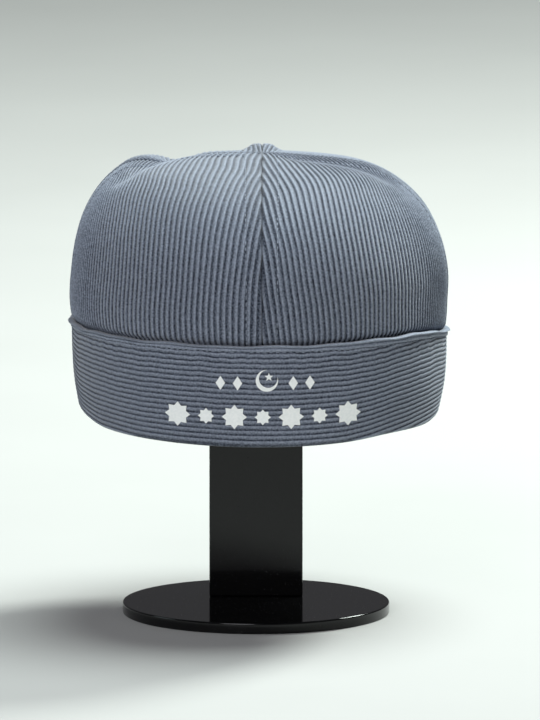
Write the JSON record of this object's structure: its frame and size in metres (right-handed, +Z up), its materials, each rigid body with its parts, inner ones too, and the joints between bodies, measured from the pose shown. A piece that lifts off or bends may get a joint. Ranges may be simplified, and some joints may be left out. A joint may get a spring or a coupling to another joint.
{
  "type": "taqiyah cap on a display stand",
  "caption": "Soft ribbed skullcap with a gored crown tucked into a turned-up band, resting on a plain stand with a round foot.",
  "frame": {"origin": "centre of the round foot's underside, on the surface that the stand rests on", "axes": "+Z up; -Y is the front, where the print is; +X is to the right seen from the front"},
  "size_m": [0.1705, 0.2108, 0.2106],
  "materials": {
    "ribbed_cloth": "matte blue-grey cord cloth with fine raised ribs",
    "white_print": "flat off-white transfer print",
    "black_acrylic": "polished black sheet"
  },
  "bodies": {
    "root": {"crown_front_left": "ribbed_cloth", "crown_front_right": "ribbed_cloth", "crown_back_right": "ribbed_cloth", "crown_back_left": "ribbed_cloth", "band": "ribbed_cloth", "print_lozenge_1": "white_print", "print_lozenge_2": "white_print", "print_lozenge_3": "white_print", "print_lozenge_4": "white_print", "print_crescent": "white_print", "print_star": "white_print", "print_rosette_1": "white_print", "print_rosette_2": "white_print", "print_rosette_3": "white_print", "print_rosette_4": "white_print", "print_rosette_5": "white_print", "print_rosette_6": "white_print", "print_rosette_7": "white_print", "stand_foot": "black_acrylic", "stand_slab": "black_acrylic", "stand_top_plate": "black_acrylic"}
  },
  "joints": []
}
